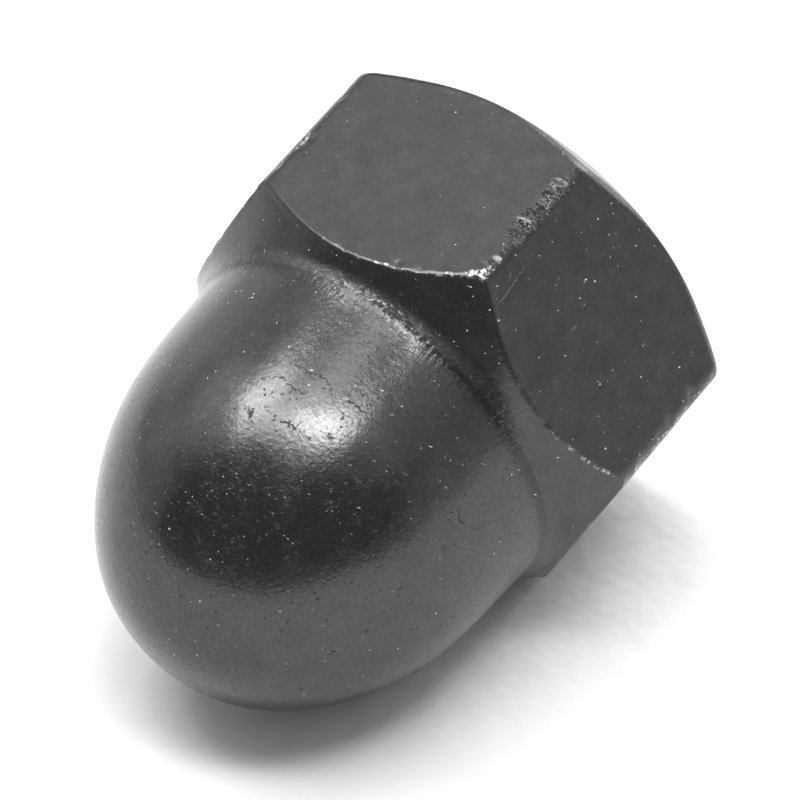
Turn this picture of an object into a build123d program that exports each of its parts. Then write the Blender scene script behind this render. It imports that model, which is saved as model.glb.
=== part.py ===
from build123d import *
import os
from math import sin, cos, tan, atan2, radians, degrees

os.makedirs("parts", exist_ok=True)

# A domed cap nut, one piece of steel: a hexagonal head, a short neck, and a
# closed dome longer than a half ball. The threaded hole is blind and opens in
# the seat, the flat end of the head. The nut lies as it comes to rest on a
# table: tipped forward off one flat of the head onto its dome.
#
# Millimetres and degrees. "Height" is measured from the seat along the thread
# axis, towards the dome. +Z is up, and the origin is on the table, under the
# middle of the nut's box. The dome points to -X, the hole opens to +X.

# Head
across_flats = 17.0
flat_height = 8.5  # at the middle of a flat, where the dome-side chamfer is highest
corner_height = 7.0  # at a sharp corner, where the same chamfer is lowest
corner_round = 0.55  # worn radius of the six upright edges
seat_circle_radius = 8.4  # the flat seat's edge, just inside the flats
seat_chamfer_angle = 36.6  # slope of the chamfer on the seat side, from the seat plane

# Neck and dome
neck_radius = 7.85  # where the neck leaves the head's chamfer
shoulder_radius = 7.58  # widest part of the dome
shoulder_height = 12.5  # where the dome begins to close
nut_height = 21.5  # seat to the tip of the dome
nose_radius = 6.73  # the ball at the dome's tip, which a flatter arc joins to the shoulder
neck_fillet = 1.2  # in the corner between neck and chamfer

# Threaded hole, drawn at its wall: the tap drill for a 10 mm thread
bore_radius = 4.25
bore_depth = 14.5  # to the end of the full round wall
drill_point_angle = 118.0
mouth_radius = 5.4  # countersink at the seat
mouth_angle = 90.0

# Shape of the head's corners, worked out from the sizes above
apothem = across_flats / 2
sharp_corner = apothem / cos(radians(30))
chamfer_slope = (flat_height - corner_height) / (sharp_corner - apothem)
junction_height = flat_height + (apothem - neck_radius) * chamfer_slope
dome_length = nut_height - shoulder_height
side_radius = (shoulder_radius**2 + dome_length**2 - 2 * dome_length * nose_radius) / (
    2 * (shoulder_radius - nose_radius)
)
nose_centre = (0, nut_height - nose_radius)
side_centre = (shoulder_radius - side_radius, shoulder_height)
nose_start = degrees(atan2(nose_centre[1] - side_centre[1], -side_centre[0]))

# How far the axis leans forward: the floor touches both the dome and the front
# edge of the lowest flat, so the two reach equally far down.
low, high = 1.0, 30.0
for _ in range(60):
    lean = (low + high) / 2
    s, c = sin(radians(lean)), cos(radians(lean))
    dome_reach = side_centre[1] * s + side_centre[0] * c + side_radius
    flat_reach = flat_height * s + apothem * c
    if dome_reach < flat_reach:
        low = lean
    else:
        high = lean

seat_rise = flat_reach  # the seat's centre above the floor
tip_reach = nose_centre[1] * c + nose_radius
seat_reach = seat_circle_radius * s
seat_forward = (tip_reach - seat_reach) / 2  # centres the nut's box over the origin

seat_centre = Vector(seat_forward, 0, seat_rise)
axis_dir = Vector(-c, 0, -s)  # from the seat towards the dome
top_flat_dir = Vector(-s, 0, c)  # outward from the uppermost flat

nut_axis = Axis(seat_centre, axis_dir)
seat_plane = Plane(origin=seat_centre, x_dir=top_flat_dir, z_dir=axis_dir)
# Half sections are drawn with x outward from the axis and y along it
section_plane = Plane(
    origin=seat_centre, x_dir=top_flat_dir, z_dir=top_flat_dir.cross(axis_dir)
)

envelope_radius = sharp_corner + 1.0
envelope_seat = (envelope_radius - seat_circle_radius) * tan(radians(seat_chamfer_angle))
envelope_dome = flat_height - (envelope_radius - apothem) * chamfer_slope
core_radius = neck_radius - 0.8
core_height = flat_height + (apothem - core_radius) * chamfer_slope

with BuildPart() as cap_nut:
    # Hexagonal bar, with its six upright edges worn round
    with BuildSketch(seat_plane):
        RegularPolygon(
            radius=apothem, side_count=6, major_radius=False, rotation=30
        )
    extrude(amount=core_height)
    fillet(cap_nut.edges().filter_by(nut_axis), radius=corner_round)

    # Both ends of the head turned to a cone, which leaves a curved edge on
    # every flat
    with BuildSketch(section_plane):
        with BuildLine():
            Polyline(
                (0, 0),
                (seat_circle_radius, 0),
                (envelope_radius, envelope_seat),
                (envelope_radius, envelope_dome),
                (core_radius, core_height),
                (0, core_height),
                close=True,
            )
        make_face()
    revolve(axis=nut_axis, mode=Mode.INTERSECT)

    # Neck, drawn in gently to the shoulder, and the dome
    with BuildSketch(section_plane):
        with BuildLine():
            Line((0, junction_height - 3), (neck_radius, junction_height - 3))
            Line((neck_radius, junction_height - 3), (neck_radius, junction_height))
            TangentArc(
                (shoulder_radius, shoulder_height),
                (neck_radius, junction_height),
                tangent=(0, -1),
            )
            CenterArc(side_centre, side_radius, start_angle=0, arc_size=nose_start)
            CenterArc(
                nose_centre, nose_radius, start_angle=nose_start, arc_size=90 - nose_start
            )
            Line((0, nut_height), (0, junction_height - 3))
        make_face()
    revolve(axis=nut_axis)

    # Fillet between the neck and the head's chamfer
    junction = (
        cap_nut.edges()
        .filter_by(GeomType.CIRCLE)
        .filter_by(lambda e: abs(e.radius - neck_radius) < 0.02)
        .filter_by(
            lambda e: abs((e.arc_center - seat_centre).length - junction_height) < 0.02
        )
    )
    fillet(junction, radius=neck_fillet)

    # Blind threaded hole, with a countersunk mouth and a drill point
    with BuildSketch(section_plane):
        with BuildLine():
            Polyline(
                (0, 0),
                (mouth_radius, 0),
                (bore_radius, (mouth_radius - bore_radius) / tan(radians(mouth_angle / 2))),
                (bore_radius, bore_depth),
                (0, bore_depth + bore_radius / tan(radians(drill_point_angle / 2))),
                close=True,
            )
        make_face()
    revolve(axis=nut_axis, mode=Mode.SUBTRACT)

cap_nut.part.label = "cap_nut"
export_step(cap_nut.part, "parts/cap_nut.step")

# Where it rests: the centre of mass lies between the two places that touch the
# table, and beyond the front edge of the lowest flat, so the nut tips forward.
centre = cap_nut.part.center(CenterOf.MASS)
box = cap_nut.part.bounding_box()
front_edge = seat_forward - flat_height * c + apothem * s
dome_touch = seat_forward - side_centre[1] * c + side_centre[0] * s
print("lean", round(lean, 3), "seat centre", tuple(round(v, 4) for v in seat_centre))
print("axis", tuple(round(v, 6) for v in axis_dir))
print("volume", round(cap_nut.part.volume, 2), "valid", cap_nut.part.is_valid)
print("box", tuple(round(v, 3) for v in box.min), tuple(round(v, 3) for v in box.max))
print("centre of mass", tuple(round(v, 3) for v in centre))
print("touches the table at x", round(dome_touch, 3), "and", round(front_edge, 3))
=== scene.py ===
import math

import bpy
import numpy as np
from mathutils import Matrix, Vector


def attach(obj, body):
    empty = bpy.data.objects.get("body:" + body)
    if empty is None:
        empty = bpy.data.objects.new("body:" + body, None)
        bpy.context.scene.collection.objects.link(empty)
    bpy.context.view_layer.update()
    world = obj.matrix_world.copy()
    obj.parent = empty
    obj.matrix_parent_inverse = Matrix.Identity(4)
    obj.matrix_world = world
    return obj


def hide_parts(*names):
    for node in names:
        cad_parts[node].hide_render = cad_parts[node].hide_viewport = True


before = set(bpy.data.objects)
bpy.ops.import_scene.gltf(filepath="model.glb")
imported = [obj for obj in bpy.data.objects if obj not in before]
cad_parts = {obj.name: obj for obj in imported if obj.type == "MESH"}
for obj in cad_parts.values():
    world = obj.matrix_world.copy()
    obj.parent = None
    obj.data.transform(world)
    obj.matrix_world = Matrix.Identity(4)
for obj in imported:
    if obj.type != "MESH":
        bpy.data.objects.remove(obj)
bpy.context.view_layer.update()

# ---------------------------------------------------------------------------
# The nut's own axes in the row frame. u points out of the uppermost flat, v
# runs across the nut, w runs from the seat to the dome along the thread.
# Lengths below are millimetres until a mesh is written.
# ---------------------------------------------------------------------------
LEAN = math.radians(10.549)
SEAT = np.array([9.8563, 0.0, 9.9125])
AXIS_U = np.array([-math.sin(LEAN), 0.0, math.cos(LEAN)])
AXIS_V = np.array([0.0, 1.0, 0.0])
AXIS_W = np.array([-math.cos(LEAN), 0.0, -math.sin(LEAN)])

APOTHEM = 8.5
SEAT_R = 8.4
SEAT_SLOPE = math.tan(math.radians(36.6))
FLAT_H = 8.5
CONE_SLOPE = 1.5 / (8.5 / math.cos(math.radians(30)) - 8.5)
NECK_R = 7.85
NECK_W = FLAT_H + (APOTHEM - NECK_R) * CONE_SLOPE
SHOULDER_R = 7.58
SHOULDER_W = 12.5
TIP_W = 21.5
NOSE_R = 6.73
BORE_R = 4.25
BORE_DEPTH = 14.5
MOUTH_R = 5.4
PITCH = 1.5
THREAD_MAJOR = 5.02

dome_len = TIP_W - SHOULDER_W
SIDE_R = (SHOULDER_R**2 + dome_len**2 - 2 * dome_len * NOSE_R) / (2 * (SHOULDER_R - NOSE_R))
SIDE_C = (SHOULDER_R - SIDE_R, SHOULDER_W)
NOSE_C = (0.0, TIP_W - NOSE_R)
NOSE_START = math.atan2(NOSE_C[1] - SIDE_C[1], -SIDE_C[0])


# ---------------------------------------------------------------------------
# Seeded smooth noise on arrays
# ---------------------------------------------------------------------------
def _hash(ix, iy, iz, seed):
    h = (ix * 73856093) ^ (iy * 19349663) ^ (iz * 83492791) ^ (seed * 2654435761)
    h = (h ^ (h >> 13)) * 1274126177
    h = (h ^ (h >> 16)) * 668265263
    h = h ^ (h >> 15)
    return ((h & 0xFFFFFF).astype(np.float64) / 0xFFFFFF) * 2 - 1


def noise3(p, cell, seed=1):
    q = p / cell
    i = np.floor(q).astype(np.int64)
    f = q - i
    f = f * f * f * (f * (f * 6 - 15) + 10)
    out = 0
    for dx in (0, 1):
        for dy in (0, 1):
            for dz in (0, 1):
                wgt = (
                    (f[..., 0] if dx else 1 - f[..., 0])
                    * (f[..., 1] if dy else 1 - f[..., 1])
                    * (f[..., 2] if dz else 1 - f[..., 2])
                )
                out = out + wgt * _hash(i[..., 0] + dx, i[..., 1] + dy, i[..., 2] + dz, seed)
    return out


def fractal(p, cell, octaves, seed, keep=0.5):
    total, amp, norm = 0, 1.0, 0.0
    for k in range(octaves):
        total = total + amp * noise3(p + 17.3 * k, cell / 2**k, seed + k)
        norm += amp
        amp *= keep
    return total / norm


def smooth(a, b, x):
    t = np.clip((x - a) / (b - a), 0, 1)
    return t * t * (3 - 2 * t)


# ---------------------------------------------------------------------------
# Half sections: one polyline of (radius, height) per column
# ---------------------------------------------------------------------------
def corner_arc(pa, p, pb, radius, n):
    """n + 1 points on the round between p's two sides. All arguments (..., 2)."""
    d1, d2 = pa - p, pb - p
    l1 = np.linalg.norm(d1, axis=-1, keepdims=True)
    l2 = np.linalg.norm(d2, axis=-1, keepdims=True)
    d1, d2 = d1 / l1, d2 / l2
    half = np.arccos(np.clip((d1 * d2).sum(-1, keepdims=True), -1, 1)) / 2
    t = np.minimum(radius[..., None] / np.tan(half), 0.45 * np.minimum(l1, l2))
    rho = t * np.tan(half)
    bis = d1 + d2
    bis = bis / np.linalg.norm(bis, axis=-1, keepdims=True)
    c = p + bis * rho / np.sin(half)
    a, b = p + d1 * t - c, p + d2 * t - c
    turn = math.pi - 2 * half
    pts = []
    for k in range(n + 1):
        s = k / n
        wa = np.sin((1 - s) * turn) / np.sin(turn)
        wb = np.sin(s * turn) / np.sin(turn)
        pts.append(c + wa * a + wb * b)
    return pts


def line(p, q, n):
    """n - 1 points between p and q, ends left out."""
    return [p + (q - p) * (k / n) for k in range(1, n)]


# Columns of the head: 72 to each flat, close together round the six edges
EDGE_ROUND = 0.72
PER_EDGE, PER_FLAT = 10, 62
edge_c = (APOTHEM - EDGE_ROUND) / math.cos(math.radians(30))
t_lim = (APOTHEM - EDGE_ROUND) * math.tan(math.radians(30))
theta, r_hex = [], []
for k in range(6):
    mid = -180.0 + 60.0 * k
    # half of this flat, from its middle, then the edge, then half of the next
    for j in range(PER_FLAT // 2):
        t = t_lim * j / (PER_FLAT // 2)
        theta.append(mid + math.degrees(math.atan2(t, APOTHEM)))
        r_hex.append(math.hypot(t, APOTHEM))
    for j in range(PER_EDGE):
        a = math.radians(-30 + 60 * j / PER_EDGE)
        x, y = edge_c + EDGE_ROUND * math.cos(a), EDGE_ROUND * math.sin(a)
        theta.append(mid + 30 + math.degrees(math.atan2(y, x)))
        r_hex.append(math.hypot(x, y))
    for j in range(PER_FLAT // 2):
        t = t_lim * (1 - j / (PER_FLAT // 2))
        theta.append(mid + 60 - math.degrees(math.atan2(t, APOTHEM)))
        r_hex.append(math.hypot(t, APOTHEM))
theta = np.radians(np.array(theta))
r_hex = np.array(r_hex)
COLS = len(theta)
even = -math.pi + 2 * math.pi * np.arange(COLS) / COLS
u_hex, v_hex = np.cos(theta), np.sin(theta)
ring_p = np.stack([u_hex * 8.5, v_hex * 8.5, np.zeros(COLS)], -1)

one = np.ones(COLS)


def pt(r, w):
    return np.stack([r * one, w * one], -1)


deg = np.degrees(theta)
rubbed = np.exp(-(((deg + 27.0) / 15.0) ** 2))  # the corner of the nut that has seen most handling
soft_b = smooth(-31, -38, deg) * smooth(-95, -88, deg)
wear_top = 0.17 + 0.06 * fractal(ring_p, 2.6, 3, 11) + 0.14 * rubbed + 0.16 * soft_b  # dome-side edge of each flat
wear_seat = 0.68 + 0.10 * fractal(ring_p, 2.2, 3, 23)
p0 = pt(MOUTH_R, 0.0)
p1 = pt(SEAT_R, 0.0)
p2 = pt(r_hex, (r_hex - SEAT_R) * SEAT_SLOPE)
p3 = pt(r_hex, FLAT_H - (r_hex - APOTHEM) * CONE_SLOPE)

# The neck and the start of the dome as (height, tilt of the surface off the
# axis in degrees). The radius follows by adding up the tilt from JOIN_W down.
JOIN_W = 14.6
JOIN_R = SIDE_C[0] + math.sqrt(SIDE_R**2 - (JOIN_W - SIDE_C[1]) ** 2)
JOIN_TILT = math.degrees(math.asin((JOIN_W - SIDE_C[1]) / SIDE_R))
CREASE_W = 9.57  # where the turned neck stops against the head
tilts = np.array(
    [
        (CREASE_W, 3.7), (10.1, 3.4), (10.6, 2.8), (11.1, 2.5), (11.7, 2.9),
        (12.3, 3.3), (12.9, 4.4), (13.5, 6.2), (14.1, 8.9), (JOIN_W, JOIN_TILT),
    ]
)
fine_w = np.linspace(CREASE_W, JOIN_W, 600)
fine_t = np.interp(fine_w, tilts[:, 0], tilts[:, 1])
fine_t = np.convolve(np.pad(fine_t, 30, mode="edge"), np.ones(61) / 61, mode="valid")
slope = np.tan(np.radians(fine_t))
drop = np.concatenate([[0], np.cumsum((slope[1:] + slope[:-1]) / 2 * np.diff(fine_w))])
fine_r = JOIN_R + (drop[-1] - drop)


def neck_r(w):
    return float(np.interp(w, fine_w, fine_r))


# Hollow between cone and neck: an arc off the cone, a short flank, a crease
cone_tilt = math.degrees(math.atan2(1, CONE_SLOPE))
FLANK_TILT = 26.0
crease = np.array([neck_r(CREASE_W), CREASE_W])
flank_d = np.array([math.tan(math.radians(FLANK_TILT)), -1.0])
flank_d /= np.linalg.norm(flank_d)
# where the flank, carried on, meets the cone
m = (CONE_SLOPE * flank_d[0] + flank_d[1])
s = (FLAT_H + CONE_SLOPE * (APOTHEM - crease[0]) - crease[1]) / m
meet = crease + flank_d * s
cone_d = np.array([1.0, -CONE_SLOPE]) / math.hypot(1, CONE_SLOPE)
HOLLOW = 2.4
reach = HOLLOW * math.tan(math.radians(cone_tilt - FLANK_TILT) / 2)
fil_a = meet + cone_d * reach
fil_b = meet - flank_d * reach

rows = []  # each (COLS, 2)
kind = []  # what each row lies on
def add(points, name):
    for q in points:
        rows.append(q)
        kind.append(name)


arc1 = corner_arc(p0, p1, p2, 0.22 * one, 4)
arc2 = corner_arc(p1, p2, p3, wear_seat, 6)
pa = pt(fil_a[0], fil_a[1])
arc3 = corner_arc(p2, p3, pa, wear_top, 8)
add(line(p0, arc1[0], 12), "seat")
add(arc1, "seat")
add(line(arc1[-1], arc2[0], 4), "seat_cone")
add(arc2, "seat_edge")
add(line(arc2[-1], arc3[0], 60), "flat")
add(arc3, "top_edge")
add(line(arc3[-1], pa, 10), "cone")
add([pa], "fillet")
hollow = corner_arc(pt(*(meet + cone_d)), pt(*meet), pt(*(meet - flank_d)), HOLLOW * one, 6)
add(hollow[1:], "fillet")
after = pt(neck_r(CREASE_W + 1.0), CREASE_W + 1.0)
bend = corner_arc(pt(*(crease + 1.5 * flank_d)), pt(*crease), after, 1.1 * one, 6)
add(bend, "fillet")
NECK_ROWS = 25
first_w = float(bend[-1][0, 1])
for k in range(1, NECK_ROWS):
    w = first_w + (JOIN_W - first_w) * k / NECK_ROWS
    add([pt(neck_r(w), w)], "neck")
SIDE_ROWS = 32
join_a = math.radians(JOIN_TILT)
for k in range(SIDE_ROWS):
    a = join_a + (NOSE_START - join_a) * k / SIDE_ROWS
    add([pt(SIDE_C[0] + SIDE_R * math.cos(a), SIDE_C[1] + SIDE_R * math.sin(a))], "dome")

section = np.stack(rows)  # (rows, COLS, 2)
n_rows = len(rows)
# From the fillet on, the columns spread evenly
first_neck = kind.index("neck")
first_dome = kind.index("dome")
blend = smooth(first_neck - 2, first_dome + 4, np.arange(n_rows))[:, None]
ang = theta[None] * (1 - blend) + even[None] * blend


def cyl(r, a, w):
    return np.stack([r * np.cos(a), r * np.sin(a), w * np.ones_like(r * a)], -1)


verts, faces = [], []
count = 0


def push_ring(p):
    """Adds a closed ring of points; returns (first index, how many)."""
    global count
    verts.append(p.reshape(-1, 3))
    first = count
    count += p.shape[0]
    return first, p.shape[0]


def join_rings(a, b):
    """Quads between two rings of equal count, or a zip of triangles otherwise.
    Angle runs the same way round both, starting at the seam."""
    (fa, na), (fb, nb) = a, b
    if na == nb:
        for j in range(na):
            k = (j + 1) % na
            faces.append((fa + j, fa + k, fb + k, fb + j))
        return
    i = j = 0
    while i < na or j < nb:
        if j == nb or (i < na and (i + 1) / na <= (j + 1) / nb):
            faces.append((fa + i % na, fa + (i + 1) % na, fb + j % nb))
            i += 1
        else:
            faces.append((fa + i % na, fb + (j + 1) % nb, fb + j % nb))
            j += 1


# Bore, from the drill point back to the mouth
BCOLS = 96
b_ang = -math.pi + 2 * math.pi * np.arange(BCOLS) / BCOLS
drill_w = BORE_DEPTH + BORE_R / math.tan(math.radians(59))
mouth_w = MOUTH_R - BORE_R  # 90 degree countersink


def thread_r(a, w):
    """Radius of the cut wall: a right-hand thread, from the mouth to two turns
    short of the bottom."""
    turn = (w / PITCH - a / (2 * math.pi)) % 1.0
    x = np.abs(turn - 0.5) * 2  # 1 at the groove's middle
    depth = np.clip((x - 0.16) / (0.84 - 0.16), 0, 1)
    depth = depth * (THREAD_MAJOR - BORE_R)
    return BORE_R + depth * smooth(12.6, 11.4, w)


rings = []
tip = push_ring(np.array([[0.0, 0.0, drill_w]]))
prev = None
for n, r in ((12, 0.5), (24, 1.2), (48, 2.2), (96, 3.2), (96, BORE_R - 0.05)):
    a = -math.pi + 2 * math.pi * np.arange(n) / n
    w = drill_w - r / math.tan(math.radians(59))
    ring = push_ring(cyl(r * np.ones(n), a, w))
    if prev is None:
        for j in range(n):
            faces.append((tip[0], ring[0] + (j + 1) % n, ring[0] + j))
    else:
        join_rings(prev, ring)
    prev = ring
heights = list(np.linspace(BORE_DEPTH - 0.02, 12.7, 6)) + list(np.linspace(12.6, 0.075, 168))
for w in heights:
    hole = np.maximum(thread_r(b_ang, w), MOUTH_R - w)
    ring = push_ring(cyl(hole, b_ang, w))
    join_rings(prev, ring)
    prev = ring
mouth = push_ring(cyl(MOUTH_R * np.ones(BCOLS), b_ang, 0.0))
join_rings(prev, mouth)
bore_end = count
bore_faces = len(faces)

# Outside
prev = mouth
outer = []
for i in range(n_rows):
    if kind[i] == "fillet" and kind[i - 1] != "fillet":
        head_faces = len(faces) + COLS
    ring = push_ring(cyl(section[i, :, 0], ang[i], section[i, :, 1]))
    join_rings(prev, ring)
    outer.append(ring)
    prev = ring
nose_rows = [(COLS, 8), (216, 7), (108, 7), (54, 5), (27, 4)]
total_nose = sum(k for _, k in nose_rows)
step = 0
for n, k in nose_rows:
    a = -math.pi + 2 * math.pi * np.arange(n) / n
    for _ in range(k):
        # rows draw closer towards the tip
        s = step / total_nose
        e = NOSE_START + (math.pi / 2 - NOSE_START) * (1 - (1 - s) ** 1.15)
        r = NOSE_R * math.cos(e)
        ring = push_ring(cyl(r * np.ones(n), a, NOSE_C[1] + NOSE_R * math.sin(e)))
        join_rings(prev, ring)
        prev = ring
        step += 1
top = push_ring(np.array([[0.0, 0.0, TIP_W]]))
for j in range(prev[1]):
    faces.append((prev[0] + j, prev[0] + (j + 1) % prev[1], top[0]))

P = np.concatenate(verts)  # nut axes, millimetres
F = faces


def normals_of(P):
    """Area-weighted vertex normals."""
    N = np.zeros_like(P)
    tri = []
    for f in F:
        tri.append((f[0], f[1], f[2]))
        if len(f) == 4:
            tri.append((f[0], f[2], f[3]))
    tri = np.array(tri)
    n = np.cross(P[tri[:, 1]] - P[tri[:, 0]], P[tri[:, 2]] - P[tri[:, 0]])
    for k in range(3):
        np.add.at(N, tri[:, k], n)
    return N / np.maximum(np.linalg.norm(N, axis=1, keepdims=True), 1e-12)


N = normals_of(P)

# --- What use has done to the surface, as real shape -----------------------
R = np.hypot(P[:, 0], P[:, 1])
W = P[:, 2]
TH = np.arctan2(P[:, 1], P[:, 0])
is_out = np.arange(len(P)) >= bore_end
is_dome = is_out & (W > NECK_W + 0.6)
push = np.zeros(len(P))
# flats are never quite flat, and the forged dome is never quite round
push += is_out * 0.016 * fractal(P, 5.5, 2, 31)
push += is_out * 0.005 * fractal(P, 1.3, 2, 37)
push += is_dome * 0.008 * fractal(P, 2.6, 2, 41)

# Dents: (angle, height, sideways shift in mm, radius, depth)
DENTS = [
    (30, 5.15, -0.10, 0.30, 0.06), (30, 4.70, -0.25, 0.24, 0.05), (30, 2.45, -0.05, 0.22, 0.04),
    (-12.0, 8.18, 0.0, 0.20, 0.05), (-17.5, 7.95, 0.0, 0.16, 0.04), (3.0, 8.45, 0.0, 0.15, 0.03),
]
rng = np.random.default_rng(7)
for k in range(6):
    edge = -150 + 60 * k
    for _ in range(9 if edge not in (-30, 30) else 2):
        DENTS.append((edge, rng.uniform(1.0, 7.0), rng.uniform(-0.3, 0.3), rng.uniform(0.14, 0.30), rng.uniform(0.02, 0.06)))
for _ in range(26):
    a = rng.uniform(-180, 180)
    flat_a = (a + 30) % 60 - 30
    h = FLAT_H - (APOTHEM / math.cos(math.radians(flat_a)) - APOTHEM) * CONE_SLOPE
    if not -35 < a < 30:
        DENTS.append((a, h, 0.0, rng.uniform(0.12, 0.24), rng.uniform(0.015, 0.04)))
ring_of = np.zeros(len(P))
for a, h, side, size, depth in DENTS:
    flat_a = (a + 30) % 60 - 30
    r = min(APOTHEM / math.cos(math.radians(flat_a)), edge_c + EDGE_ROUND)
    ar = math.radians(a) + side / r
    if side:
        r = min(r, APOTHEM / math.cos(abs((math.degrees(ar) + 30) % 60 - 30) * math.pi / 180))
    c = np.array([r * math.cos(ar), r * math.sin(ar), h])
    near = np.nonzero(((P - c) ** 2).sum(1) < (1.6 * size) ** 2)[0]
    d = np.sqrt(((P[near] - c) ** 2).sum(1)) / size
    d = d * (1 + 0.35 * fractal(P[near], 0.35, 2, 51))
    push[near] -= depth * np.exp(-(d**3) * 1.2)
# One upright edge is torn for half its length, in notches across it
bite = smooth(0.0, 0.45, fractal(P * np.array([0.55, 0.55, 1.5]), 0.5, 3, 78))
side = np.hypot(P[:, 0] - 8.50, P[:, 1] + 4.66)
push -= is_out * 0.085 * bite * smooth(0.42, 0.10, side) * smooth(1.9, 2.5, W) * smooth(5.4, 4.9, W)
P = P + N * push[:, None]

# --- Write the mesh ---------------------------------------------------------
row = SEAT + P[:, :1] * AXIS_U + P[:, 1:2] * AXIS_V + P[:, 2:3] * AXIS_W
row[:, 2] = np.maximum(row[:, 2], 0.0)
mesh = bpy.data.meshes.new("cap_nut_body")
mesh.from_pydata((row / 1000.0).tolist(), [], F)
mesh.update()
mesh.polygons.foreach_set("use_smooth", np.ones(len(mesh.polygons), dtype=bool))
nut = bpy.data.objects.new("cap_nut_body", mesh)
bpy.context.scene.collection.objects.link(nut)

# How far each point is from the head's edges, for the worn metal there
run = np.zeros((n_rows, COLS))
run[1:] = np.cumsum(np.linalg.norm(np.diff(section, axis=0), axis=2), axis=0)
first_top = kind.index("top_edge") + 4
first_seat = kind.index("seat_edge") + 3
edge_top = np.full(len(P), 9.0)
edge_seat = np.full(len(P), 9.0)
edge_up = np.full(len(P), 9.0)
off = np.degrees(theta) % 60.0 - 30.0  # 0 on an upright edge
for i, (first, n) in enumerate(outer):
    edge_top[first : first + n] = run[i] - run[first_top]
    edge_seat[first : first + n] = run[i] - run[first_seat]
    if kind[i] in ("flat", "seat_edge", "top_edge") or (i < first_neck and i > first_top):
        edge_up[first : first + n] = section[i, :, 0] * np.radians(np.abs(off))
# and how much of the black is rubbed off them
TD = np.degrees(TH)
wear = 0.38 + 0.30 * fractal(P, 2.2, 2, 61)
on_a = (TD > -32) & (TD < 30)
on_b = (TD <= -32) & (TD > -90)
at_top = np.abs(edge_top) < 0.6
at_seat = np.abs(edge_seat) < 0.6
wear = np.where(on_a & at_top, 0.28 + 0.36 * smooth(20, -26, TD), wear)
wear = np.where(on_b & at_top, 0.22 + 0.30 * smooth(-56, -70, TD), wear)
wear = np.where((on_a | on_b) & at_seat, 0.12, wear)


def rubbed_and_glint_at(place, size, level):
    """Raises the wear to level round one place. Past about 0.8 it also paints the metal lighter than bare steel: a
    painted highlight.
    """
    global wear
    d = np.linalg.norm(P - np.array(place), axis=1) / size
    wear = np.maximum(wear, level * np.exp(-(d**2)))


# The first three raise the corner at the top of one upright edge past 1: worn metal, and beyond bare steel a painted
# highlight on the corner.
rubbed_and_glint_at((8.46, -4.42, 7.08), 0.48, 1.05)
rubbed_and_glint_at((8.43, -4.72, 6.92), 0.46, 1.10)
rubbed_and_glint_at((8.42, -4.85, 6.50), 0.34, 0.74)
rubbed_and_glint_at((8.44, 4.84, 4.90), 0.80, 0.85)
low_edge = (np.abs(TD + 90) < 9) & is_out & (edge_top < -0.7)
wear = np.where(low_edge, np.maximum(wear, 0.60 + 0.30 * fractal(P, 0.9, 2, 83)), wear)
for name, values in (("wear", wear), ("edge_top", edge_top), ("edge_seat", edge_seat), ("edge_up", edge_up)):
    att = mesh.attributes.new(name, "FLOAT", "POINT")
    att.data.foreach_set("value", values.astype(np.float32))

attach(nut, "root")
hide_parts("cap_nut")


# ---------------------------------------------------------------------------
# Node helpers
# ---------------------------------------------------------------------------
class Tree:
    def __init__(self, tree):
        self.t = tree
        tree.nodes.clear()

    def node(self, kind, inputs=None, **props):
        n = self.t.nodes.new(kind)
        for k, v in props.items():
            setattr(n, k, v)
        for k, v in (inputs or {}).items():
            self.put(n.inputs[k], v)
        return n

    def put(self, socket, v):
        if isinstance(v, bpy.types.NodeSocket):
            self.t.links.new(v, socket)
        else:
            socket.default_value = v

    def math(self, op, a, b=None, c=None, clamp=False):
        n = self.node("ShaderNodeMath", operation=op, use_clamp=clamp)
        self.put(n.inputs[0], a)
        if b is not None:
            self.put(n.inputs[1], b)
        if c is not None:
            self.put(n.inputs[2], c)
        return n.outputs[0]

    def vmath(self, op, a, b=None, c=None):
        n = self.node("ShaderNodeVectorMath", operation=op)
        self.put(n.inputs[0], a)
        if b is not None:
            self.put(n.inputs[1], b)
        if c is not None:
            self.put(n.inputs[2], c)
        return n.outputs["Value"] if op in ("DOT_PRODUCT", "LENGTH", "DISTANCE") else n.outputs["Vector"]

    def ramp(self, v, a, b, lo=0.0, hi=1.0, smooth=True):
        n = self.node("ShaderNodeMapRange", interpolation_type="SMOOTHSTEP" if smooth else "LINEAR")
        n.clamp = True
        self.put(n.inputs["Value"], v)
        self.put(n.inputs["From Min"], a)
        self.put(n.inputs["From Max"], b)
        self.put(n.inputs["To Min"], lo)
        self.put(n.inputs["To Max"], hi)
        return n.outputs["Result"]

    def noise(self, vec, scale, detail=2.0, rough=0.5, distort=0.0):
        n = self.node("ShaderNodeTexNoise", {"Scale": scale, "Detail": detail, "Roughness": rough, "Distortion": distort})
        self.put(n.inputs["Vector"], vec)
        return n.outputs["Fac"]

    def voronoi(self, vec, scale, feature="F1", rand=1.0):
        n = self.node("ShaderNodeTexVoronoi", feature=feature)
        self.put(n.inputs["Vector"], vec)
        self.put(n.inputs["Scale"], scale)
        self.put(n.inputs["Randomness"], rand)
        return n

    def mix(self, f, a, b):
        n = self.node("ShaderNodeMix", data_type="FLOAT")
        self.put(n.inputs[0], f)
        self.put(n.inputs[2], a)
        self.put(n.inputs[3], b)
        return n.outputs[0]

    def grey(self, v):
        n = self.node("ShaderNodeCombineColor")
        for k in range(3):
            self.put(n.inputs[k], v)
        return n.outputs[0]


rot = Matrix([list(AXIS_U), list(AXIS_V), list(AXIS_W)])
offset = -(rot @ Vector(list(SEAT)))

TRACK_FROM, TRACK_LONG = -12.5, 12.5


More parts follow.
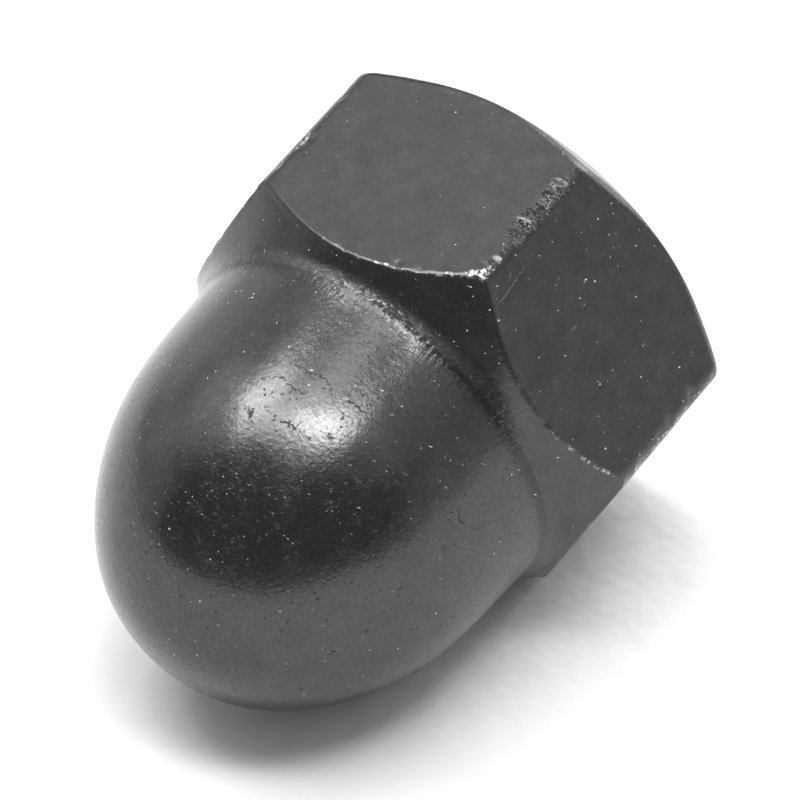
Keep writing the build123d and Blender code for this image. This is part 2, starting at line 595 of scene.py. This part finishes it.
def common(name):
    """A new material with the nut's own coordinates in millimetres."""
    global t, mm, cu, cv, cw, rad, around, turned
    m = bpy.data.materials.new(name)
    m.use_nodes = True
    t = Tree(m.node_tree)
    coord = t.node("ShaderNodeTexCoord")
    mapping = t.node("ShaderNodeMapping")
    mapping.inputs["Location"].default_value = offset
    mapping.inputs["Rotation"].default_value = rot.to_euler()
    mapping.inputs["Scale"].default_value = (1000, 1000, 1000)
    t.put(mapping.inputs["Vector"], coord.outputs["Object"])
    mm = mapping.outputs["Vector"]
    parts = t.node("ShaderNodeSeparateXYZ", {0: mm})
    cu, cv, cw = parts.outputs[0], parts.outputs[1], parts.outputs[2]
    return m


def polar():
    global rad, around, turned
    rad = t.math("SQRT", t.math("ADD", t.math("MULTIPLY", cu, cu), t.math("MULTIPLY", cv, cv)))
    around = t.math("MULTIPLY", t.math("ARCTAN2", cv, cu), 7.6)
    turned = combine(around, cw, rad)  # round the nut, along it, out from its axis


def combine(x, y, z):
    n = t.node("ShaderNodeCombineXYZ")
    t.put(n.inputs[0], x)
    t.put(n.inputs[1], y)
    t.put(n.inputs[2], z)
    return n.outputs[0]


def attribute(name):
    return t.node("ShaderNodeAttribute", attribute_name=name, attribute_type="GEOMETRY").outputs["Fac"]


def colour_part(node, k):
    return t.node("ShaderNodeSeparateColor", {0: node.outputs["Color"]}).outputs[k]


def grit(warp, share):
    """Small irregular cells over the surface. Gives a height in which each cell
    is a facet tilted its own way (slope about 1), three random numbers a cell,
    the distance to its middle, and 1 on the cells that carry a speck of pale
    dust: a share of them, each speck smaller than its cell."""
    where = t.vmath("ADD", mm, combine(warp, warp, warp))
    v = t.voronoi(where, 7.5)
    r = t.node("ShaderNodeSeparateColor", {0: v.outputs["Color"]}).outputs
    away = t.vmath("SUBTRACT", where, v.outputs["Position"])
    tip = t.vmath("MULTIPLY_ADD", v.outputs["Color"], (2, 2, 2), (-1, -1, -1))
    far = v.outputs["Distance"]
    size = t.math("MULTIPLY", t.ramp(t.math("SUBTRACT", 1.0, r[0]), 0.0, share, 1.0, 0.0, smooth=False), 0.27)
    return t.vmath("DOT_PRODUCT", away, tip), r, far, t.math("LESS_THAN", far, size)


def stroke(where, points, width):
    """Up to 1 on the broken line through these points, 0 at width from it."""
    found = None
    for p, q in zip(points, points[1:]):
        p, q = Vector(p), Vector(q)
        d = q - p
        off = t.vmath("SUBTRACT", where, tuple(p))
        along = t.math("MULTIPLY", t.vmath("DOT_PRODUCT", off, tuple(d)), 1.0 / d.length_squared, clamp=True)
        n = t.node("ShaderNodeVectorMath", operation="SCALE")
        n.inputs[0].default_value = tuple(d)
        t.put(n.inputs["Scale"], along)
        dist = t.vmath("DISTANCE", off, n.outputs["Vector"])
        found = dist if found is None else t.math("MINIMUM", found, dist)
    return t.ramp(found, width, width * 0.25)


def curve(value, points):
    n = t.node("ShaderNodeFloatCurve")
    c = n.mapping.curves[0]
    points = sorted(points)
    while len(c.points) < len(points):
        c.points.new(0.5, 0.5)
    for q, (x, y) in zip(c.points, points):
        q.location = (x, y)
        q.handle_type = "VECTOR"
    n.mapping.update()
    t.put(n.inputs["Value"], value)
    return n.outputs["Value"]


def track(track_x, track_y, lines):
    """Thin marks side by side round the turned part: each is ([(distance
    round, height), ...], half width), and none overlaps another."""
    place, width = [(0.0, 0.3), (1.0, 0.3)], [(0.0, 0.0), (1.0, 0.0)]
    for pts, half in lines:
        pts = sorted(pts)
        for k, (a, h) in enumerate(pts):
            x = (a - TRACK_FROM) / TRACK_LONG
            place.append((x, (h - 10.0) / 10.0))
            end = k in (0, len(pts) - 1)
            width.append((x, half / 0.1 * (0.55 if end else 1.0)))
            if k == 0:
                width.append((x - 0.0045, 0.0))
            if k == len(pts) - 1:
                width.append((x + 0.0045, 0.0))
    off = t.math("ABSOLUTE", t.math("MULTIPLY_ADD", curve(track_x, place), -10.0, t.math("SUBTRACT", track_y, 10.0)))
    wide = t.math("MAXIMUM", t.math("MULTIPLY", curve(track_x, width), 0.1), 0.0001)
    return t.ramp(t.math("DIVIDE", off, wide), 1.0, 0.25)


def shade(base, rough, metal, height):
    bump = t.node("ShaderNodeBump", {"Strength": 1.0, "Distance": 0.001})
    t.put(bump.inputs["Height"], height)
    bsdf = t.node("ShaderNodeBsdfPrincipled")
    t.put(bsdf.inputs["Base Color"], t.grey(base))
    t.put(bsdf.inputs["Metallic"], metal)
    t.put(bsdf.inputs["Roughness"], rough)
    t.put(bsdf.inputs["Normal"], bump.outputs["Normal"])
    out = t.node("ShaderNodeOutputMaterial")
    t.put(out.inputs["Surface"], bsdf.outputs["BSDF"])


STEEL = 0.070  # how much the blackened steel reflects, face on
BARE = 0.30  # and where the black is worn off

# --- Head: flats, chamfers, seat ---------------------------------------------
head_mat = common("blackened_head")
wear_and_glint = attribute("wear")
e_top = attribute("edge_top")
d_up = t.math("MAXIMUM", attribute("edge_up"), e_top)
d_edge = t.math("MINIMUM", t.math("MINIMUM", t.math("ABSOLUTE", e_top), t.math("ABSOLUTE", attribute("edge_seat"))), d_up)
cloud = t.noise(mm, 1.1, 3, 0.62)
grain = t.noise(mm, 7.5, 3, 0.68)
chips = t.noise(mm, 4.2, 3, 0.68)
reach_out = t.math("MULTIPLY_ADD", wear_and_glint, 0.13, 0.03)
reach_out = t.math("MULTIPLY_ADD", t.math("POWER", wear_and_glint, 4.0), 0.25, reach_out)
bare = t.math("DIVIDE", d_edge, reach_out)
worn = t.math("MULTIPLY", t.ramp(bare, 1.0, 0.35), t.ramp(t.math("MULTIPLY_ADD", wear_and_glint, 0.33, chips), 0.70, 0.84))
SCRATCHES = [
    ([(7.69, -5.38, 5.44), (7.57, -5.45, 6.25), (7.51, -5.48, 7.14)], 0.032),
    ([(7.98, -5.21, 5.95), (7.82, -5.30, 6.22)], 0.030),
    ([(6.55, -6.03, 4.50), (6.26, -6.20, 4.96)], 0.024),
    ([(4.98, -6.94, 5.03), (5.0, -6.93, 5.32)], 0.024),
]
wobble = t.math("MULTIPLY_ADD", grain, 0.16, -0.08)
wobbly = t.vmath("ADD", mm, combine(wobble, wobble, wobble))
scored = None
for pts, width in SCRATCHES:
    v = stroke(wobbly, pts, width)
    scored = v if scored is None else t.math("MAXIMUM", scored, v)
scored = t.math("MULTIPLY", scored, t.math("MULTIPLY", t.ramp(chips, 0.40, 0.54), t.ramp(grain, 0.36, 0.54, 0.25, 1.0)))
# the torn stretch of one upright edge: steep-sided chips, with bright lips
torn = t.ramp(t.math("MULTIPLY_ADD", chips, 0.9, t.vmath("DISTANCE", t.vmath("MULTIPLY", mm, (1, 1, 0)), (8.44, -4.70, 0.0))), 0.82, 0.64)
torn = t.math("MULTIPLY", torn, t.math("MULTIPLY", t.ramp(cw, 1.9, 2.3), t.ramp(cw, 5.35, 4.9)))
tear = t.noise(t.vmath("MULTIPLY", mm, (2.2, 2.2, 5.6)), 1.0, 3, 0.6)
chipped_and_shaded = t.math("MULTIPLY", torn, t.ramp(tear, 0.48, 0.58))
lips = t.math("MULTIPLY", torn, t.math("MULTIPLY", t.ramp(tear, 0.43, 0.48), t.ramp(tear, 0.52, 0.495)))
facet, r3, far, dust = grit(t.math("MULTIPLY", grain, 0.15), t.ramp(cloud, 0.42, 0.62, 0.05, 0.24))
worn = t.math("MAXIMUM", worn, t.math("MULTIPLY", lips, t.ramp(cw, 4.2, 2.4, 0.05, 0.40)))
base = t.ramp(cloud, 0.25, 0.75, STEEL * 0.90, STEEL * 1.10, smooth=False)
base = t.math("MULTIPLY", base, t.ramp(grain, 0.25, 0.75, 0.88, 1.12, smooth=False))
# The chips are painted at half the steel's colour: painted shade in their hollows, besides their real depth in the bump
# below.
base = t.mix(chipped_and_shaded, base, STEEL * 0.5)
# Worn metal goes to BARE; where the wear runs high (the rubbed corner) the power term paints it lighter still, nearly
# white: a painted highlight.
base = t.mix(t.math("MAXIMUM", worn, t.math("MULTIPLY", scored, 0.5)), base, t.math("MULTIPLY_ADD", t.math("POWER", wear_and_glint, 4.0), 0.40, BARE))
base = t.mix(dust, base, t.math("MULTIPLY_ADD", t.math("MULTIPLY", r3[2], r3[2]), 0.55, 0.10))
rough = t.ramp(cloud, 0.3, 0.7, 0.24, 0.28)
rough = t.mix(worn, rough, 0.28)
rough = t.mix(dust, rough, 0.9)
height = t.math("MULTIPLY", grain, 0.004)
height = t.math("MULTIPLY_ADD", facet, t.math("MULTIPLY_ADD", worn, 0.11, 0.008), height)
height = t.math("MULTIPLY_ADD", cloud, 0.012, height)
height = t.math("MULTIPLY_ADD", scored, -0.006, height)
height = t.math("MULTIPLY_ADD", chips, t.ramp(d_edge, 0.4, 0.1, 0.0, 0.020), height)
height = t.math("MULTIPLY_ADD", chipped_and_shaded, -0.060, height)
shade(base, rough, t.math("SUBTRACT", 1.0, dust), height)

# --- Turned part: hollow, neck and dome ----------------------------------------
dome_mat = common("blackened_dome")
polar()
on_turned = t.ramp(rad, 3.0, 5.0)  # marks that run round the dome stop short of its tip
dome = t.ramp(cw, 9.72, 9.95)
ring = t.math("MULTIPLY", t.ramp(cw, 8.95, 9.35), t.ramp(cw, 10.05, 9.6))
cloud = t.noise(mm, 1.1, 3, 0.62)
grain = t.noise(mm, 6.5, 2, 0.6)
hatch = t.noise(t.vmath("MULTIPLY", turned, (6.5, 1.1, 0.3)), 1.0, 1, 0.6)
facet, r3, far, dust = grit(t.math("MULTIPLY", grain, 0.25), t.ramp(cloud, 0.42, 0.62, 0.05, 0.22))
pits = t.math("MULTIPLY", t.math("LESS_THAN", r3[2], 0.05), t.ramp(far, 0.5, 0.25))
pits = t.math("MULTIPLY", pits, dome)
line_n = t.noise(t.vmath("MULTIPLY", turned, (0.55, 2.2, 2.2)), 1.0, 4, 0.7)
hair = t.math("ABSOLUTE", t.math("SUBTRACT", line_n, 0.5))
hair = t.math("MULTIPLY", t.ramp(hair, 0.008, 0.002), t.ramp(cloud, 0.50, 0.62))
hair = t.math("MULTIPLY", t.math("MULTIPLY", hair, t.math("GREATER_THAN", r3[1], 0.4)), t.math("MULTIPLY", on_turned, dome))
rip = t.math("MULTIPLY_ADD", grain, 0.34, -0.17)
track_x = t.math("MULTIPLY_ADD", around, 1.0 / TRACK_LONG, -TRACK_FROM / TRACK_LONG)
track_y = t.math("ADD", cw, rip)
deep = track(track_x, track_y, [
    ([(-2.25, 12.97), (-1.8, 12.92), (-1.47, 13.06), (-1.03, 13.04), (-0.74, 13.12)], 0.036),
    ([(-4.15, 12.94), (-3.71, 13.10), (-3.47, 13.05), (-3.14, 13.12)], 0.040),
    ([(-9.56, 12.88), (-9.27, 13.0), (-9.09, 12.90), (-8.73, 12.82)], 0.048),
])
deep = t.math("MAXIMUM", deep, track(track_x, track_y, [
    ([(-1.83, 13.84), (-1.42, 13.87), (-1.01, 13.83)], 0.030),
    ([(-0.83, 13.70), (-0.50, 13.84)], 0.038),
    ([(-0.35, 13.97), (-0.10, 14.05)], 0.036),
    ([(-3.50, 12.60), (-3.10, 12.52)], 0.042),
    ([(-10.26, 12.12), (-10.16, 12.43), (-10.01, 12.7)], 0.040),
]))
deep = t.math("MAXIMUM", deep, track(track_x, track_y, [
    ([(-2.40, 14.74), (-2.31, 15.06), (-2.0, 15.04), (-1.74, 15.10)], 0.055),
    ([(-4.16, 12.27), (-3.74, 12.22)], 0.034),
]))
faint = track(track_x, track_y, [
    ([(-3.49, 10.92), (-2.74, 10.94), (-1.86, 10.89)], 0.028),
    ([(-1.54, 10.65), (-1.17, 10.82), (-0.52, 11.16)], 0.026),
    ([(-4.32, 11.22), (-3.95, 11.11)], 0.028),
    ([(-6.58, 13.62), (-6.29, 13.69)], 0.028),
])
SPOTS = [
    (-0.63, 15.44, 0.15), (-3.35, 13.6, 0.09), (-3.46, 14.51, 0.10), (-2.97, 15.02, 0.08),
    (-2.52, 13.21, 0.08), (-0.83, 14.43, 0.07), (-0.55, 14.5, 0.06), (-11.36, 18.86, 0.12),
]
torn_at = t.math("MULTIPLY_ADD", grain, 0.8, -0.40)
torn_at = combine(t.math("ADD", around, torn_at), t.math("SUBTRACT", cw, torn_at), 0.0)
for a, h, size in SPOTS:
    near = t.ramp(t.vmath("DISTANCE", torn_at, (a, h, 0.0)), size, size * 0.3)
    deep = t.math("MAXIMUM", deep, near)
deep = t.math("MULTIPLY", deep, t.ramp(r3[1], 0.15, 0.30, 0.5, 1.0))
dark = t.math("MAXIMUM", t.math("MAXIMUM", t.math("MULTIPLY", pits, 0.6), t.math("MULTIPLY", hair, 0.5)), deep)
base = t.ramp(cloud, 0.25, 0.75, STEEL * 0.91, STEEL * 1.09, smooth=False)
base = t.math("MULTIPLY", base, t.ramp(grain, 0.25, 0.75, 0.86, 1.14, smooth=False))
base = t.math("MULTIPLY", base, t.ramp(dark, 0.0, 1.0, 1.0, 0.40))
# Painted light on the hollow and crease: the crease ring is painted up to about a quarter darker all round (painted
# shade), and the hollow just below it is painted up to 60% lighter over one stretch round the nut, about -50 to +25
# degrees (painted highlight).
base = t.math("MULTIPLY", base, t.math("MULTIPLY_ADD", t.math("MULTIPLY", t.ramp(cw, 9.34, 9.46), t.ramp(cw, 10.05, 9.6)), -0.26, t.math("MULTIPLY_ADD", t.math("MULTIPLY", t.math("MULTIPLY", t.ramp(cw, 8.88, 9.25), t.ramp(cw, 9.50, 9.38)), t.math("MULTIPLY", t.ramp(around, -7.0, -4.0), t.ramp(around, 3.5, 0.5))), 0.60, 1.0)))
base = t.math("MULTIPLY", base, t.math("MULTIPLY_ADD", faint, 0.9, 1.0))
base = t.mix(dust, base, t.math("MULTIPLY_ADD", t.math("MULTIPLY", r3[2], r3[2]), 0.55, 0.10))
rough = t.math("MULTIPLY_ADD", ring, 0.04, t.ramp(cloud, 0.3, 0.7, 0.205, 0.240))
rough = t.math("MULTIPLY_ADD", dark, 0.2, rough)
rough = t.mix(dust, rough, 0.9)
height = t.math("MULTIPLY", grain, t.math("MULTIPLY_ADD", ring, 0.008, 0.0075))
height = t.math("MULTIPLY_ADD", facet, t.math("MULTIPLY_ADD", ring, 0.048, 0.0085), height)
height = t.math("MULTIPLY_ADD", cloud, 0.012, height)
height = t.math("MULTIPLY_ADD", hatch, t.math("MULTIPLY", t.math("MULTIPLY", t.ramp(cw, 9.10, 9.40), t.ramp(cw, 10.35, 9.7)), 0.018), height)
height = t.math("MULTIPLY_ADD", dark, -0.012, height)
height = t.math("MULTIPLY_ADD", faint, 0.012, height)
shade(base, rough, t.math("SUBTRACT", 1.0, dust), height)

# --- Bore: cut metal, with the same black in it ---------------------------------
bore_mat = common("blackened_thread")
grain = t.noise(mm, 6.0, 3, 0.65)
base = t.ramp(grain, 0.25, 0.75, STEEL * 0.85, STEEL * 1.5, smooth=False)
shade(base, t.ramp(grain, 0.3, 0.7, 0.28, 0.40), 1.0, t.math("MULTIPLY", grain, 0.008))

for m in (head_mat, dome_mat, bore_mat):
    mesh.materials.append(m)
slots = np.zeros(len(mesh.polygons), dtype=np.int32)
slots[:bore_faces] = 2
slots[head_faces:] = 1
mesh.polygons.foreach_set("material_index", slots)

# ---------------------------------------------------------------------------
# Floor
# ---------------------------------------------------------------------------
fm = bpy.data.meshes.new("floor")
S = 6.0
fm.from_pydata([(-S, -S, 0), (S, -S, 0), (S, S, 0), (-S, S, 0)], [], [(0, 1, 2, 3)])
floor = bpy.data.objects.new("floor", fm)
bpy.context.scene.collection.objects.link(floor)
floor.location.z = -0.00001
fmat = bpy.data.materials.new("paper")
fmat.use_nodes = True
t = Tree(fmat.node_tree)
fc = t.node("ShaderNodeTexCoord").outputs["Object"]
fh = t.math("MULTIPLY", t.noise(fc, 130, 4, 0.6), 0.35)
fb = t.node("ShaderNodeBump", {"Strength": 1.0, "Distance": 0.001})
t.put(fb.inputs["Height"], fh)
pb = t.node("ShaderNodeBsdfPrincipled", {"Base Color": (0.70, 0.70, 0.70, 1), "Roughness": 0.9})
pb.inputs["Specular IOR Level"].default_value = 0.2
t.put(pb.inputs["Normal"], fb.outputs["Normal"])
po = t.node("ShaderNodeOutputMaterial")
t.put(po.inputs["Surface"], pb.outputs["BSDF"])
fm.materials.append(fmat)

# ---------------------------------------------------------------------------
# Light: a soft grey surround, brighter behind the nut, and soft lamps almost
# straight above it
# ---------------------------------------------------------------------------
world = bpy.data.worlds.new("studio")
bpy.context.scene.world = world
world.use_nodes = True
t = Tree(world.node_tree)
wd = t.vmath("NORMALIZE", t.node("ShaderNodeTexCoord").outputs["Generated"])
world.cycles.sampling_method = "MANUAL"
world.cycles.sample_map_resolution = 256


def lobe(direction, half_angle, level, power=1.0):
    d = Vector(direction).normalized()
    c = t.vmath("DOT_PRODUCT", wd, tuple(d))
    v = t.ramp(c, math.cos(math.radians(half_angle)), 1.0)
    if power != 1.0:
        v = t.math("POWER", v, power)
    return t.math("MULTIPLY", v, level)


def toward(az, el):
    a, e = math.radians(az), math.radians(el)
    return (math.sin(a) * math.cos(e), math.cos(a) * math.cos(e), math.sin(e))


SURROUND = [  # azimuth from +Y towards +X, elevation, half angle, level
    (18, 48, 24, 0.47),
    (54, 48, 24, 1.17),
    (162, 48, 24, 0.64),
    (342, 48, 24, 1.19),
    (0, 28, 30, 0.69),
    (90, 28, 30, 5.25),
    (22, 10, 26, 0.93),
    (112, 10, 26, 3.02),
    (157, 10, 26, 0.42),
    (337, 10, 26, 0.59),
]
LAMPS = [  # azimuth, elevation, level (as if 10 degrees across): one bank of lamps, and a narrower strip
    (190, 69, 24.5),
    (200, 77, 21.7),
    (250, 80, 22.1),
    (222, 72, 9.2),
    (170, 68, 11.1),
    (100, 80, 5.4),
    (0, 88, 7.5),
    (300, 74, 12.1),
    (335, 75, 5.8),
    (0, 74, 7.7),
    (10, 68, 13.7),
    (345, 62, 12.0),
    (335, 66, 13.0),
    (318, 63, 8.4),
    (60, 74, 2.5),
    (125, 76, 2.5),
]
LAMP_WIDTH = 12.5  # degrees across
z = t.node("ShaderNodeSeparateXYZ", {0: wd}).outputs[2]
light = t.ramp(z, 0.0, 0.05, 0.75, 0.32, smooth=False)  # a pale horizon
for az, el, half, level in SURROUND:
    light = t.math("ADD", light, lobe(toward(az, el), half, level))
bg = t.node("ShaderNodeBackground")
t.put(bg.inputs["Color"], (1.0, 1.0, 1.0, 1.0))
t.put(bg.inputs["Strength"], light)
wo = t.node("ShaderNodeOutputWorld")
t.put(wo.inputs["Surface"], bg.outputs[0])

for n, (az, el, level) in enumerate(LAMPS):
    ld = bpy.data.lights.new("softbox_%d" % (n + 1), "SUN")
    ld.angle = math.radians(LAMP_WIDTH)
    ld.energy = level * math.pi * math.sin(math.radians(5.0)) ** 2
    lamp = bpy.data.objects.new("softbox_%d" % (n + 1), ld)
    bpy.context.scene.collection.objects.link(lamp)
    lamp.rotation_euler = Vector(toward(az, el)).to_track_quat("Z", "Y").to_euler()
    lamp.location = Vector(toward(az, el)) * 0.5

# ---------------------------------------------------------------------------
# Camera, where the photograph was taken from
# ---------------------------------------------------------------------------
cam_data = bpy.data.cameras.new("camera")
cam = bpy.data.objects.new("camera", cam_data)
bpy.context.scene.collection.objects.link(cam)
right = Vector((0.60273186, -0.79719995, -0.03444632))
down = Vector((-0.53688866, -0.37322838, -0.75660501))
ahead = Vector((0.59030913, 0.47452378, -0.65296425))
eye = Vector((-0.11465402, -0.09412164, 0.13757445))
m = Matrix((right, -down, -ahead)).transposed().to_4x4()
m.translation = eye
cam.matrix_world = m
cam_data.sensor_width = 36.0
cam_data.lens = 36.0 * 5417.5 / 800.0
cam_data.clip_start = 0.01
cam_data.clip_end = 50.0
bpy.context.scene.camera = cam

scene = bpy.context.scene
scene.view_settings.view_transform = "Standard"
scene.view_settings.look = "None"
scene.view_settings.exposure = 0.0
scene.view_settings.gamma = 1.0
